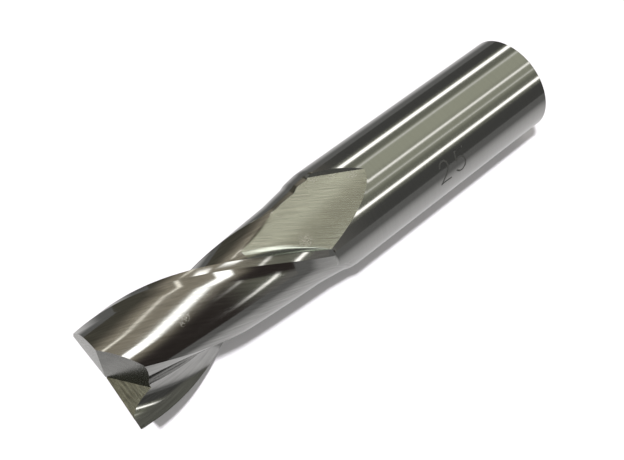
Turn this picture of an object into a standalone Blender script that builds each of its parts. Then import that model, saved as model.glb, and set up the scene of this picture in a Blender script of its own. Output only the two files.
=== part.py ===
"""A two-flute slot drill of high-speed steel, 25 mm, with a plain round shank.

One solid piece. It stands on the end of its shank: the origin is the centre of that end,
+Z runs along the axis and the cutting end is at the top. Metres throughout.

The fluted body is a loft. Each section across the axis is worked out in a frame that turns with
the cutting edge: x points at the edge, y points into the flute in front of it. The sections are
stacked along a right-hand helix, and past the end of the fluted length the floor of the flute
rises on the arc that the grinding wheel leaves. The end teeth are then cut with Booleans.
"""
import math

import bmesh
import bpy
from mathutils import Matrix, Vector

# Driving sizes of the blank
CUTTING_DIAMETER = 0.025
SHANK_DIAMETER = 0.025
OVERALL_LENGTH = 0.121
SHANK_CHAMFER = 0.0006
CENTRE_MOUTH = 0.0053
CENTRE_PILOT = 0.0025
CENTRE_PILOT_DEPTH = 0.0016
CENTRE_CONE_ANGLE = math.radians(60.0)

# Driving sizes of the flutes
HELIX_ANGLE = math.radians(29.4)
FLUTE_LENGTH = 0.045
WEB_THICKNESS = 0.01394
RAKE_ANGLE = math.radians(10.0)
FLOOR_ANGLE = math.radians(32.0)
FLOOR_RADIUS = 0.0145
FLOOR_OFFSET = 0.00406
CREST_ANGLE = math.radians(82.0)
CREST_DEPTH = 0.00265
CREST_BREAK = 0.0003

# The land behind each cutting edge
PRIMARY_ARC = math.radians(9.1)
PRIMARY_DEPTH = 0.00012
LAND_ARC = math.radians(22.3)
HEEL_DEPTH = 0.0008
LAND_END_STEP = 0.0005

# The run-out, where the wheel leaves the steel
RUNOUT_FLOOR = 0.00708
RUNOUT_SLOPE = 0.173
RUNOUT_RADIUS = 0.278
RUNOUT_TILT = 0.027
RUNOUT_CROWN = 0.074
CONTACT_ANGLE = math.radians(64.0)
CONTACT_LEAD = 0.0175
CONTACT_BLEND = 0.003
CORNER_TRACK_SLOPE = 0.77
CORNER_TRACK_LEAD = 0.0019
CORNER_SLANT = math.radians(45.0)
BACK_RUNOUT_START = 0.0035
BACK_RUNOUT_SLOPE = 0.09
BACK_RUNOUT_LENGTH = 0.0082
BACK_STEP_LEAD = 0.0022
BACK_STEP = 0.0003

# The end teeth
END_RELIEF_ANGLE = math.radians(9.5)
END_DISH = 0.00045
GASH_SLOPE = math.radians(39.6)
GASH_TURN = math.radians(22.5)
GASH_PAST_CENTRE = 0.0010
GASH_SHORT_OF_CENTRE = 0.0006
STOCK_ABOVE_TIP = 0.001

# Fineness of the loft
LAND_STEPS = 12
RIDGE_STEP = 5
RAKE_STEPS = 5
FLOOR_STEPS = 12
BACK_STEPS = 8
FLUTE_ROW_PITCH = 0.0015
RUNOUT_ROW_PITCH = 0.0010
MERGE_DISTANCE = 1e-6
SHARP_ANGLE = math.radians(28.0)

# Worked out from the driving sizes
CUTTING_RADIUS = CUTTING_DIAMETER / 2
SHANK_RADIUS = SHANK_DIAMETER / 2
WEB_HALF = WEB_THICKNESS / 2
TWIST = math.tan(HELIX_ANGLE) / CUTTING_RADIUS
HEEL_ANGLE = math.pi - LAND_ARC
HEEL_GAP = math.radians(1.0)

STEEL_COLOUR = (0.40, 0.40, 0.37, 1.0)


def clear_scene():
    for item in list(bpy.data.objects):
        bpy.data.objects.remove(item, do_unlink=True)


def ground_steel():
    material = bpy.data.materials.new("ground_high_speed_steel")
    material.use_nodes = True
    shader = material.node_tree.nodes["Principled BSDF"]
    shader.inputs["Base Color"].default_value = STEEL_COLOUR
    shader.inputs["Metallic"].default_value = 1.0
    shader.inputs["Roughness"].default_value = 0.28
    return material


def bisect(function, low, high):
    """Root of a function that is negative at low and positive at high."""
    for _ in range(60):
        middle = (low + high) / 2
        if function(middle) < 0:
            low = middle
        else:
            high = middle
    return (low + high) / 2


def polar(radius, angle):
    return Vector((radius * math.cos(angle), radius * math.sin(angle)))


def smooth_step(value, start, end):
    """0 before start, 1 past end, and an S-curve between."""
    share = min(1.0, max(0.0, (value - start) / (end - start)))
    return share * share * (3.0 - 2.0 * share)


def floor_radius(angle):
    """Radius of the flute's floor at an angle from the edge, along the fluted length.

    The floor is an arc that bulges out of the steel. FLOOR_ANGLE is the direction it faces where
    it is half the web from the axis, and FLOOR_OFFSET how far that lies to the side.
    """
    facing = polar(1.0, FLOOR_ANGLE)
    centre = facing * (WEB_HALF - FLOOR_RADIUS) + polar(FLOOR_OFFSET, FLOOR_ANGLE + math.pi / 2)
    along = centre.dot(polar(1.0, angle))
    return along + math.sqrt(along ** 2 + FLOOR_RADIUS ** 2 - centre.length_squared)


def runout_facing(depth):
    """Direction that the run-out faces. It stays put in space, so it grows in the turning frame."""
    return FLOOR_ANGLE + TWIST * (depth - FLUTE_LENGTH)


def runout_rise(depth):
    """Distance of the run-out's middle line from the axis, on the arc that the wheel leaves."""
    travel = depth - FLUTE_LENGTH
    return RUNOUT_FLOOR + RUNOUT_SLOPE * travel + travel ** 2 / (2 * RUNOUT_RADIUS)


def runout_height(sideways, depth):
    """Distance of the run-out from the axis, beside its middle line: tilted and slightly crowned."""
    return runout_rise(depth) + RUNOUT_TILT * sideways - sideways ** 2 / (2 * RUNOUT_CROWN)


def runout_radius(angle, depth):
    """Radius of the run-out at an angle from the edge: the root of its height's quadratic."""
    off = angle - runout_facing(depth)
    square = math.sin(off) ** 2 / (2 * RUNOUT_CROWN)
    linear = math.cos(off) - RUNOUT_TILT * math.sin(off)
    rise = runout_rise(depth)
    return 2 * rise / (linear + math.sqrt(linear ** 2 + 4 * square * rise))


def root_radius(angle, depth):
    """Radius of the flute's bottom: the floor, and past the wheel's last line of contact the run-out.

    That line crosses the flute slantwise: it is deeper below the tip towards the crest.
    """
    contact = FLUTE_LENGTH + CONTACT_LEAD * (angle - CONTACT_ANGLE)
    share = smooth_step(depth, contact - CONTACT_BLEND / 2, contact + CONTACT_BLEND / 2)
    if share == 0.0:
        return floor_radius(angle)
    return floor_radius(angle) * (1.0 - share) + runout_radius(angle, depth) * share


def root_facing(angle, depth):
    """Direction that the flute's bottom faces, from the change of its radius."""
    small = 1e-4
    change = root_radius(angle + small, depth) - root_radius(angle - small, depth)
    return angle - math.atan2(change / (2 * small), root_radius(angle, depth))


EDGE_END = bisect(lambda depth: runout_radius(0.0, depth) - CUTTING_RADIUS,
                  FLUTE_LENGTH, FLUTE_LENGTH + CUTTING_DIAMETER)
FLOOR_EXIT = bisect(lambda depth: runout_rise(depth) - CUTTING_RADIUS,
                    FLUTE_LENGTH, FLUTE_LENGTH + RUNOUT_RADIUS)
TRACK_CENTRE = FLOOR_EXIT - CORNER_TRACK_LEAD
BACK_START = EDGE_END - BACK_RUNOUT_START
BACK_STEP_AT = EDGE_END + BACK_STEP_LEAD
BACK_END = EDGE_END + BACK_RUNOUT_LENGTH


def corner_track(depth):
    """Place of the wheel's corner in the run-out: sideways, and its distance from the axis."""
    sideways = -CORNER_TRACK_SLOPE * (depth - TRACK_CENTRE)
    return sideways, runout_height(sideways, depth)


FLUTE_END = bisect(lambda depth: math.hypot(*corner_track(depth)) - CUTTING_RADIUS,
                   TRACK_CENTRE, TRACK_CENTRE + CUTTING_RADIUS)


def back_radius(angle, depth):
    """Radius of the tooth's back: it grows evenly from the crest to the heel.

    Near the end of the flutes the back rises slowly, takes a small step where its own wheel left,
    and then steps out to the full round.
    """
    share = (angle - CREST_ANGLE) / (HEEL_ANGLE - CREST_ANGLE)
    radius = CUTTING_RADIUS - CREST_DEPTH + share * (CREST_DEPTH - HEEL_DEPTH)
    radius += BACK_RUNOUT_SLOPE * max(0.0, depth - BACK_START)
    radius += BACK_STEP * smooth_step(depth, BACK_STEP_AT, BACK_STEP_AT + LAND_END_STEP)
    if depth >= BACK_END:
        return CUTTING_RADIUS
    return min(CUTTING_RADIUS, radius)


def runout_edge(depth):
    """Angle at which the run-out meets the full round, on the side of the cutting edge."""
    off = bisect(lambda off: CUTTING_RADIUS - runout_radius(runout_facing(depth) + off, depth),
                 -math.pi / 2, 0.0)
    return runout_facing(depth) + off


def land_points(depth):
    """From the heel to the edge: secondary relief, ridge, primary relief, or the full round."""
    if depth <= EDGE_END:
        heel = polar(back_radius(HEEL_ANGLE, depth), -LAND_ARC)
        ridge = polar(CUTTING_RADIUS - PRIMARY_DEPTH, -PRIMARY_ARC)
        edge = polar(CUTTING_RADIUS, 0.0)
        ridge_at = LAND_STEPS - RIDGE_STEP
        points = [heel.lerp(ridge, step / ridge_at) for step in range(ridge_at)]
        points += [ridge.lerp(edge, step / RIDGE_STEP) for step in range(RIDGE_STEP)]
        return points
    span = runout_edge(depth) + LAND_ARC
    return [polar(CUTTING_RADIUS, -LAND_ARC + span * step / LAND_STEPS) for step in range(LAND_STEPS)]


def corner_angle(depth):
    """Angle where the flute's bottom ends: at the back of the tooth, or at the wheel's corner."""
    crest = bisect(lambda angle: root_radius(angle, depth) - back_radius(angle, depth),
                   FLOOR_ANGLE, runout_facing(max(depth, FLUTE_LENGTH)) + math.pi / 3)
    crest -= CREST_BREAK / CUTTING_RADIUS
    if depth <= EDGE_END:
        return crest
    return min(crest, runout_facing(depth) + math.atan2(*corner_track(depth)))


def rake_arc(depth):
    """Radius of the hooked rake face, and the angle from the axis at which it joins the bottom.

    The arc starts at the edge along the rake angle and is tangent to the flute's bottom.
    """
    edge = polar(CUTTING_RADIUS, 0.0)
    hook = polar(1.0, RAKE_ANGLE + math.pi / 2)

    def miss(angle):
        chord = edge - polar(root_radius(angle, depth), angle)
        turn = polar(1.0, root_facing(angle, depth)) - hook
        return chord.x * turn.y - chord.y * turn.x

    joint = bisect(miss, 0.0, CREST_ANGLE)
    chord = edge - polar(root_radius(joint, depth), joint)
    turn = polar(1.0, root_facing(joint, depth)) - hook
    return chord.length / turn.length, joint


def floor_points(depth):
    """From the edge to the corner: the hooked rake face as an arc, then the flute's bottom.

    Points are evenly spaced by length along the arc and by angle along the bottom.
    """
    corner = corner_angle(depth)
    points = []
    if depth < EDGE_END:
        radius, start = rake_arc(depth)
        edge = polar(CUTTING_RADIUS, 0.0)
        centre = edge + polar(radius, RAKE_ANGLE + math.pi / 2)
        sweep = RAKE_ANGLE + math.pi / 2 - root_facing(start, depth)
        for step in range(RAKE_STEPS):
            turn = RAKE_ANGLE - math.pi / 2 - sweep * step / RAKE_STEPS
            points.append(centre + polar(radius, turn))
    else:
        start = runout_edge(depth)
        span = (corner - start) * RAKE_STEPS / FLOOR_STEPS
        for step in range(RAKE_STEPS):
            angle = start + span * step / RAKE_STEPS
            points.append(polar(root_radius(angle, depth), angle))
        start += span
    rest = FLOOR_STEPS - RAKE_STEPS
    for step in range(rest + 1):
        angle = start + (corner - start) * step / rest
        points.append(polar(root_radius(angle, depth), angle))
    return points


def back_points(depth, corner):
    """From the wheel's corner to the heel of the tooth ahead."""
    slant = polar(1.0, runout_facing(max(depth, FLUTE_LENGTH)) + CORNER_SLANT)
    reach = 0.0
    for _ in range(40):
        place = corner + slant * reach
        target = back_radius(math.atan2(place.y, place.x), depth)
        reach += max(0.0, target - place.length)
    top = corner + slant * reach
    first = math.atan2(top.y, top.x)
    last = HEEL_ANGLE - HEEL_GAP
    points = [top]
    for step in range(1, BACK_STEPS + 1):
        angle = first + (last - first) * step / BACK_STEPS
        points.append(polar(back_radius(angle, depth), angle))
    return points


def section(depth):
    """Closed loop across the axis at a depth below the tip: one half, and its half-turn copy."""
    if depth >= FLUTE_END:
        exit_angle = runout_facing(FLUTE_END) + math.atan2(*corner_track(FLUTE_END))
        radius = CUTTING_RADIUS if depth <= FLUTE_END else SHANK_RADIUS
        span = exit_angle + LAND_ARC
        half = [polar(radius, -LAND_ARC + span * step / LAND_STEPS) for step in range(LAND_STEPS)]
        half += [polar(radius, exit_angle)] * (FLOOR_STEPS + 1)
        span = HEEL_ANGLE - HEEL_GAP - exit_angle
        half += [polar(radius, exit_angle + span * step / BACK_STEPS) for step in range(BACK_STEPS + 1)]
    else:
        floor = floor_points(depth)
        half = land_points(depth) + floor + back_points(depth, floor[-1])
    loop = half + [-point for point in half]
    turn = Matrix.Rotation(-TWIST * min(depth, FLUTE_END), 2)
    return [turn @ point for point in loop]


def evenly(start, end, pitch):
    count = max(1, math.ceil((end - start) / pitch - 1e-6))
    return [start + (end - start) * step / count for step in range(count + 1)]


def row_depths():
    """Depths of the loft's rows below the tip, closer together where the form changes fast."""
    rows = evenly(-STOCK_ABOVE_TIP, FLUTE_LENGTH, FLUTE_ROW_PITCH)
    rows += evenly(FLUTE_LENGTH, EDGE_END, RUNOUT_ROW_PITCH)[1:]
    rows += evenly(EDGE_END + LAND_END_STEP, BACK_END, RUNOUT_ROW_PITCH)
    rows += evenly(BACK_END + LAND_END_STEP, FLUTE_END, RUNOUT_ROW_PITCH)
    return rows


def shank_rings():
    """Radius and height of the plain rings from the run-out down and into the centre hole."""
    mouth = CENTRE_MOUTH / 2
    pilot = CENTRE_PILOT / 2
    cone_depth = (mouth - pilot) / math.tan(CENTRE_CONE_ANGLE / 2)
    blend = OVERALL_LENGTH - FLUTE_END - LAND_END_STEP
    return [
        (SHANK_RADIUS, blend),
        (SHANK_RADIUS, SHANK_CHAMFER),
        (SHANK_RADIUS - SHANK_CHAMFER, 0.0),
        (mouth, 0.0),
        (pilot, cone_depth),
        (pilot, cone_depth + CENTRE_PILOT_DEPTH),
    ]


def slot_drill_blank():
    """The lofted solid with flat ends, before its end teeth are ground."""
    shape = bmesh.new()
    loops = []
    for depth in row_depths():
        height = OVERALL_LENGTH - depth
        loops.append([shape.verts.new((p.x, p.y, height)) for p in section(depth)])
    last = section(OVERALL_LENGTH)
    for radius, height in shank_rings():
        scale = radius / SHANK_RADIUS
        loops.append([shape.verts.new((p.x * scale, p.y * scale, height)) for p in last])
    count = len(loops[0])
    for upper, lower in zip(loops, loops[1:]):
        for i in range(count):
            j = (i + 1) % count
            shape.faces.new((upper[i], lower[i], lower[j], upper[j]))
    shape.faces.new(loops[0])
    shape.faces.new(list(reversed(loops[-1])))
    bmesh.ops.remove_doubles(shape, verts=shape.verts, dist=MERGE_DISTANCE)
    bmesh.ops.dissolve_degenerate(shape, edges=shape.edges, dist=MERGE_DISTANCE)
    bmesh.ops.triangulate(shape, faces=[f for f in shape.faces if len(f.verts) < 5])
    bmesh.ops.recalc_face_normals(shape, faces=shape.faces)
    mesh = bpy.data.meshes.new("slot_drill")
    shape.to_mesh(mesh)
    shape.free()
    return mesh


def wedge(name, depth_at, turn):
    """A cutter over one half of the end: upright sides, and a slanted underside.

    depth_at gives the underside's depth below the tip over the frame of one end tooth, where x
    points along the end cutting edge and y away from the steel that carries it.
    """
    reach = CUTTING_DIAMETER
    shape = bmesh.new()
    corners = [(-reach, 0.0), (reach, 0.0), (reach, reach), (-reach, reach)]
    low = []
    high = []
    for x, y in corners:
        low.append(shape.verts.new((x, y, OVERALL_LENGTH - depth_at(x, y))))
        high.append(shape.verts.new((x, y, OVERALL_LENGTH + reach)))
    shape.faces.new(low)
    shape.faces.new(high)
    for i in range(4):
        j = (i + 1) % 4
        shape.faces.new((low[i], low[j], high[j], high[i]))
    bmesh.ops.recalc_face_normals(shape, faces=shape.faces)
    mesh = bpy.data.meshes.new(name)
    shape.to_mesh(mesh)
    shape.free()
    cutter = bpy.data.objects.new(name, mesh)
    cutter.rotation_euler.z = turn
    cutter.hide_render = True
    cutter.display_type = "WIRE"
    bpy.context.collection.objects.link(cutter)
    return cutter


def end_relief_depth(x, y):
    """End relief of the opposite tooth, whose edge lies along -x and dishes in to the centre."""
    return END_DISH * (1.0 + x / CUTTING_RADIUS) + y * math.tan(END_RELIEF_ANGLE)


def gash_depth(past_centre):
    """Underside of the gash in front of an end tooth, by how far it reaches past the centre."""
    slope = math.tan(GASH_SLOPE)

    def depth(x, y):
        return END_DISH + slope * ((x + past_centre) * math.cos(GASH_TURN) + y * math.sin(GASH_TURN))

    return depth


def end_tooth_cutters():
    return [
        wedge("end_relief_1", end_relief_depth, 0.0),
        wedge("end_relief_2", end_relief_depth, math.pi),
        wedge("gash_of_long_tooth", gash_depth(GASH_PAST_CENTRE), math.pi),
        wedge("gash_of_short_tooth", gash_depth(-GASH_SHORT_OF_CENTRE), 0.0),
    ]


def main():
    clear_scene()
    mesh = slot_drill_blank()
    drill = bpy.data.objects.new("slot_drill", mesh)
    bpy.context.collection.objects.link(drill)
    mesh.materials.append(ground_steel())
    mesh.shade_smooth()
    mesh.set_sharp_from_angle(angle=SHARP_ANGLE)
    for cutter in end_tooth_cutters():
        cut = drill.modifiers.new(cutter.name, "BOOLEAN")
        cut.operation = "DIFFERENCE"
        cut.solver = "EXACT"
        cut.object = cutter


main()
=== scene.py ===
# %% [markdown]
# # A ground steel slot drill, as a lesson in cells
# The object is a milling tool: one bar of high-speed steel, ground all over. A frame gives its solid
# at its real size, standing on the end of its shank with its axis along +Z. This script gives it a
# finer surface, ground-steel finishes, the etched size, light and a camera.

# %% Load the frame
import math

import bmesh
import bpy
import numpy as np
from mathutils import Matrix, Vector


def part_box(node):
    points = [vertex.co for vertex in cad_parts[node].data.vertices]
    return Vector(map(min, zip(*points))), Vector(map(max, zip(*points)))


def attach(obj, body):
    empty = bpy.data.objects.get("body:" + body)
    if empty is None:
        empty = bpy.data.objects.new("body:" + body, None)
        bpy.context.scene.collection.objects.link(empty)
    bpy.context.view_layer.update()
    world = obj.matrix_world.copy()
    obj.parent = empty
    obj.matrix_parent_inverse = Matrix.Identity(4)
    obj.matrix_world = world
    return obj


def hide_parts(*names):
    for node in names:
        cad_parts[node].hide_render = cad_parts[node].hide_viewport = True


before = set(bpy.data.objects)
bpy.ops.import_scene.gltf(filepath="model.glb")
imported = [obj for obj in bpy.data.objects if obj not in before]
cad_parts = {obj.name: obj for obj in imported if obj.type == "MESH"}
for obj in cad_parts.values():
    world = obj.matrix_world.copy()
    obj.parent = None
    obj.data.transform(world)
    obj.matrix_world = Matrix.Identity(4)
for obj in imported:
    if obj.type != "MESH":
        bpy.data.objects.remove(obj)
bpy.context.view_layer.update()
low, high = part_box("slot_drill")
print("frame: slot_drill from", tuple(low), "to", tuple(high))

# %% [markdown]
# ## Sizes
# The bar's radius and length come from the frame. The flute is the track of a grinding wheel: its
# section is an arc under the cutting edge (the rake face), a floor that bulges a little, and a rounded
# back. The wheel follows a right-hand helix for the fluted length and then rises out of the steel.
# These are the few numbers that describe it, in metres and radians.

# %% Sizes of the tool
RADIUS = (high.x - low.x) / 2
LENGTH = high.z
MM = 0.001

HELIX = math.radians(29.4)
TWIST = math.tan(HELIX) / RADIUS
FLUTE_LENGTH = 45 * MM
RAKE = math.radians(10.0)
CREST_TURN = math.radians(82.0)
CREST_DEPTH = 2.65 * MM
CREST_BREAK = math.radians(0.8)

PRIMARY_ARC = math.radians(9.1)
PRIMARY_DEPTH = 0.12 * MM
LAND_ARC = math.radians(22.3)
HEEL_DEPTH = 0.8 * MM
HEEL_TURN = math.pi - LAND_ARC
print("radius", RADIUS, "length", LENGTH, "turn per mm", math.degrees(TWIST) * MM)

# %% [markdown]
# ## Floor of the flute
# A section is worked out in a frame that turns with the cutting edge, with the angle 0 at the edge.
# A wheel with a flat rim, set to the helix, leaves a floor that bulges a little: here it is an arc.
# Every function takes whole arrays of angles and of depths below the tip at once.

# %% Floor along the fluted length
FLOOR_TURN = math.radians(32.0)
FLOOR_DISTANCE = 6.97 * MM
FLOOR_RADIUS = 14.5 * MM
FLOOR_OFFSET = 4.06 * MM


def polar(radius, angle):
    """Points at a radius and an angle, as an array whose last axis is x, y."""
    return np.stack([radius * np.cos(angle), radius * np.sin(angle)], -1)


def floor_radius(angle):
    """Radius of an arc round a centre on the far side: b + sqrt(b^2 + r^2 - c^2), b = centre . ray."""
    facing, side = polar(1.0, FLOOR_TURN), polar(1.0, FLOOR_TURN + math.pi / 2)
    centre = facing * (FLOOR_DISTANCE - FLOOR_RADIUS) + side * FLOOR_OFFSET
    along = polar(1.0, angle) @ centre
    return along + np.sqrt(along ** 2 + FLOOR_RADIUS ** 2 - centre @ centre)


print("floor at its middle", round(float(floor_radius(FLOOR_TURN)) / MM, 2), "mm from the axis")

# %% [markdown]
# ## Where the wheel leaves the steel
# Past the fluted length the wheel stops following the helix and rises. What it leaves is nearly a flat
# face that stays put in space, so seen from the turning section it swings round and moves out. Its
# height over the axis is a gentle arc along the tool, tilted and slightly crowned across it. A
# Boolean with a wheel would do too, but a formula keeps the rows and columns of the section.

# %% Run-out
RUNOUT_FLOOR = 7.08 * MM
RUNOUT_SLOPE = 0.173
RUNOUT_RADIUS = 278 * MM
RUNOUT_TILT = 0.027
RUNOUT_CROWN = 74 * MM


def runout_turn(depth):
    """Direction the run-out faces: still in space, so it grows with the helix in the section."""
    return FLOOR_TURN + TWIST * (depth - FLUTE_LENGTH)


def runout_rise(depth):
    """Height of the run-out's middle line: start + slope t + t^2 / 2r, t the depth past the flute."""
    travel = depth - FLUTE_LENGTH
    return RUNOUT_FLOOR + RUNOUT_SLOPE * travel + travel ** 2 / (2 * RUNOUT_RADIUS)


def runout_height(sideways, depth):
    """Height beside the middle line: rise + tilt w - w^2 / 2 crown."""
    return runout_rise(depth) + RUNOUT_TILT * sideways - sideways ** 2 / (2 * RUNOUT_CROWN)


def runout_radius(angle, depth):
    """The same face as a radius over the angle: the root of its height's quadratic."""
    off = angle - runout_turn(depth)
    square = np.sin(off) ** 2 / (2 * RUNOUT_CROWN)
    linear = np.cos(off) - RUNOUT_TILT * np.sin(off)
    rise = runout_rise(depth)
    return 2 * rise / (linear + np.sqrt(np.maximum(0, linear ** 2 + 4 * square * rise)))


print("run-out starts", round(float(runout_rise(FLUTE_LENGTH)) / MM, 2), "mm from the axis")

# %% [markdown]
# ## The line of contact
# The helical floor and the run-out meet along the wheel's last line of contact, which crosses the
# flute slantwise. A sudden change from one to the other would leave a jagged row of faces, so a
# smooth step blends them over a short length.

# %% Line of contact
CONTACT_TURN = math.radians(64.0)
CONTACT_LEAD = 17.5 * MM
CONTACT_BLEND = 1.8 * MM
SMALL_TURN = 1e-4


def smooth_step(value, start, end):
    """0 before start, 1 after end, and 3t^2 - 2t^3 between."""
    t = np.clip((value - start) / (end - start), 0, 1)
    return t * t * (3 - 2 * t)


def contact_share(angle, depth):
    """0 on the helix's floor and 1 on the run-out; the line is flute + lead (angle - turn)."""
    contact = FLUTE_LENGTH + CONTACT_LEAD * (angle - CONTACT_TURN)
    return smooth_step(depth, contact - CONTACT_BLEND / 2, contact + CONTACT_BLEND / 2)


def root_radius(angle, depth):
    """Radius of the flute's bottom: floor (1 - share) + run-out share."""
    share = contact_share(angle, depth)
    return floor_radius(angle) * (1 - share) + runout_radius(angle, depth) * share


def root_facing(angle, depth):
    """Direction the bottom faces: angle - atan(r' / r)."""
    change = root_radius(angle + SMALL_TURN, depth) - root_radius(angle - SMALL_TURN, depth)
    return angle - np.arctan2(change / (2 * SMALL_TURN), root_radius(angle, depth))


contact_middle = FLUTE_LENGTH + CONTACT_LEAD * (FLOOR_TURN - CONTACT_TURN)
print("line of contact crosses the floor at", round(contact_middle / MM, 2), "mm")

# %% [markdown]
# ## Ends of the edge and of the flute
# The edge ends where the run-out comes up to the full round, and the flute ends where the wheel's
# corner does. Places where two surfaces cross could be solved by hand, but halving an interval finds
# them for any surface and for all the sections at once.

# %% Ends
HALVINGS = 48
EDGE_SEARCH_END = 1.5 * FLUTE_LENGTH
FLOOR_SEARCH_END = 2 * FLUTE_LENGTH
CORNER_SLOPE = 0.77
CORNER_LEAD = 1.9 * MM


def crossing(rule, start, end):
    """Where a rule that is negative at start and positive at end crosses zero, by halving."""
    for _ in range(HALVINGS):
        middle = (start + end) / 2
        below = rule(middle) < 0
        start, end = np.where(below, middle, start), np.where(below, end, middle)
    return (start + end) / 2


EDGE_END = float(crossing(lambda s: runout_radius(0.0, s) - RADIUS, FLUTE_LENGTH, EDGE_SEARCH_END))
FLOOR_EXIT = float(crossing(lambda s: runout_rise(s) - RADIUS, FLUTE_LENGTH, FLOOR_SEARCH_END))
TRACK_CENTRE = FLOOR_EXIT - CORNER_LEAD


def corner_track(depth):
    """Place of the wheel's corner: sideways is - slope (depth - centre), and the run-out's height."""
    sideways = -CORNER_SLOPE * (depth - TRACK_CENTRE)
    return sideways, runout_height(sideways, depth)


FLUTE_END = float(crossing(
    lambda s: np.hypot(*corner_track(s)) - RADIUS, TRACK_CENTRE, TRACK_CENTRE + RADIUS
))
print("edge ends at", round(EDGE_END / MM, 2), "mm and the flute at", round(FLUTE_END / MM, 2), "mm")

# %% [markdown]
# ## Back of the tooth
# Behind each flute the steel grows from the crest to the heel, bulging a little on the way. Near the
# end of the flutes the back rises, takes a small soft step where its own wheel left, and then a
# second one up to the full round. Sums of ramps and smooth steps are enough for such a slow surface.

# %% Back
BACK_BULGE = 0.15 * MM
BACK_START = EDGE_END - 3.5 * MM
BACK_SLOPE = 0.09
BACK_STEP_AT = EDGE_END + 2.2 * MM
BACK_STEP = 0.3 * MM
BACK_END = EDGE_END + 8.2 * MM
STEP_RUN = 1.8 * MM


def back_radius(angle, depth):
    """Radius from crest to heel, bulging 4 t (1 - t), plus the rise and the steps near the end."""
    share = (angle - CREST_TURN) / (HEEL_TURN - CREST_TURN)
    radius = RADIUS - CREST_DEPTH + share * (CREST_DEPTH - HEEL_DEPTH)
    radius = radius + 4 * BACK_BULGE * share * (1 - share)
    radius = radius + BACK_SLOPE * np.maximum(0, depth - BACK_START)
    radius = radius + BACK_STEP * smooth_step(depth, BACK_STEP_AT, BACK_STEP_AT + STEP_RUN)
    radius = np.minimum(RADIUS, radius)
    return radius + (RADIUS - radius) * smooth_step(depth, BACK_END - STEP_RUN, BACK_END)


print("back steps up at", round(BACK_STEP_AT / MM, 2), "mm and ends at", round(BACK_END / MM, 2), "mm")

# %% [markdown]
# ## One section, from heel to heel
# A section is a closed loop. It is worked out for one tooth and the flute in front of it, and the other
# half is the same turned by half a turn. Each stretch of the loop has a fixed number of columns, so the
# sections join row by row. The first stretch is the land, two flats ground behind the edge to give it
# clearance. Past the end of the edge they turn into the full round.

# %% Land
LAND_COLUMNS = (22, 12)
RAKE_COLUMNS = 22
FLOOR_COLUMNS = 38
WALL_COLUMNS = 3
BACK_COLUMNS = 40
LAND_BLEND = 0.7 * MM
EDGE_SEARCH = 1.5


def blend(start, end, count):
    """Even values for every row, start + (end - start) k / count, without the last one."""
    share = np.arange(count) / count
    if start.ndim > 1:
        share = share[None, :, None]
    return start[:, None] + (end - start)[:, None] * share


def runout_edge(depth):
    """Angle at which the run-out's radius comes up to the full round, on the side of the edge."""
    turn = runout_turn(depth)
    zero = np.zeros_like(depth)
    return turn + crossing(
        lambda off: RADIUS - runout_radius(turn + off, depth), zero - EDGE_SEARCH, zero
    )


def land_columns(depth):
    """Two flats, heel to ridge and ridge to edge, and past the end of the edge the full round.

    There the radius is flat + (R - flat) share, and the angles are stretched to the run-out's edge
    and slide over to even ones.
    """
    ones = np.ones_like(depth)
    heel = polar(back_radius(HEEL_TURN * ones, depth), -LAND_ARC * ones)
    ridge = polar((RADIUS - PRIMARY_DEPTH) * ones, -PRIMARY_ARC * ones)
    edge = polar(RADIUS * ones, 0 * ones)
    flats = np.concatenate([blend(heel, ridge, LAND_COLUMNS[0]), blend(ridge, edge, LAND_COLUMNS[1])], 1)
    last = np.where(depth > EDGE_END, runout_edge(np.maximum(depth, EDGE_END)), 0)
    even = blend(-LAND_ARC * ones, last, sum(LAND_COLUMNS))
    share = smooth_step(depth, EDGE_END, EDGE_END + LAND_BLEND)[:, None]
    angle = np.arctan2(flats[..., 1], flats[..., 0])
    spread = np.clip((depth - EDGE_END) / LAND_BLEND, 0, 1)[:, None]
    stretched = -LAND_ARC + (angle + LAND_ARC) * ((last + LAND_ARC) / LAND_ARC)[:, None]
    angle = stretched + (even - stretched) * spread
    radius = np.linalg.norm(flats, axis=-1)
    return polar(radius + (RADIUS - radius) * share, angle)


print("columns of a land", sum(LAND_COLUMNS), "of its back", BACK_COLUMNS)

# %% [markdown]
# ## Rake face
# The rake face is the hooked surface that the chip slides over. It is an arc that leaves the edge
# along the rake angle and ends tangent to the floor. Neither its radius nor its joint is known at
# first, but an arc's chord leans the same way as the difference of its two normals, and that gives
# one rule to halve for.

# %% Rake face
CREST_SEARCH = math.pi / 3


def corner_turn(depth):
    """Angle where the bottom ends: at the back of the tooth, or earlier at the wheel's corner."""
    low_angle = np.full_like(depth, FLOOR_TURN)
    high_angle = runout_turn(np.maximum(depth, FLUTE_LENGTH)) + CREST_SEARCH
    crest = crossing(lambda a: root_radius(a, depth) - back_radius(a, depth), low_angle, high_angle)
    crest = crest - CREST_BREAK
    track = runout_turn(depth) + np.arctan2(*corner_track(depth))
    return np.where(depth > EDGE_END, np.minimum(crest, track), crest)


def rake_arc(depth):
    """Radius of the rake arc, chord / difference of its end normals, and the angle of its joint."""
    edge = np.array([RADIUS, 0.0])
    hook = polar(1.0, RAKE + math.pi / 2)

    def parts(angle):
        """The chord, edge - joint, and the difference of the normals at the arc's two ends."""
        chord = edge - polar(root_radius(angle, depth), angle)
        return chord, polar(1.0, root_facing(angle, depth)) - hook

    def miss(angle):
        """Cross product of the two, zero where they are parallel."""
        chord, turn = parts(angle)
        return chord[:, 0] * turn[:, 1] - chord[:, 1] * turn[:, 0]

    joint = crossing(miss, np.zeros_like(depth), np.full_like(depth, CREST_TURN))
    chord, turn = parts(joint)
    return np.linalg.norm(chord, axis=-1) / np.linalg.norm(turn, axis=-1), joint


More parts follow.
